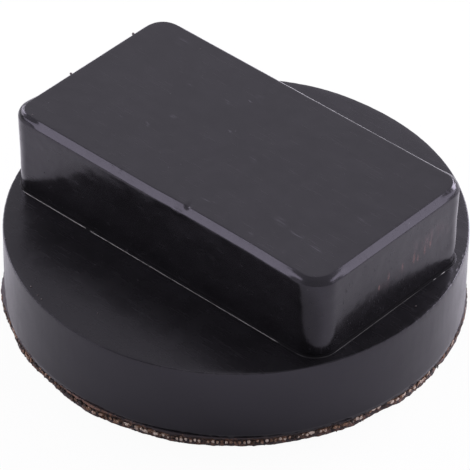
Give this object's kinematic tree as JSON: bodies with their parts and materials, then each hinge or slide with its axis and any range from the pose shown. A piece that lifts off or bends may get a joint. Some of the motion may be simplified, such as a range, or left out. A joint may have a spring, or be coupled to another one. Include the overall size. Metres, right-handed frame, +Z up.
{
  "type": "rubber jack pad",
  "caption": "Round rubber jack pad with a raised rectangular lug on top and a canvas ply bonded under it.",
  "frame": {"origin": "centre of the resting face, on the underside of the canvas ply", "axes": "+Z up through the pad towards the lug's top face, +X along the lug's length"},
  "size_m": [0.0622, 0.0622, 0.0253],
  "materials": {
    "rubber": "satin moulded black rubber",
    "canvas": "woven cotton canvas, rubber-soaked, cut edge"
  },
  "bodies": {
    "root": {"rubber_pad": "rubber", "canvas_ply": "canvas"}
  },
  "joints": []
}
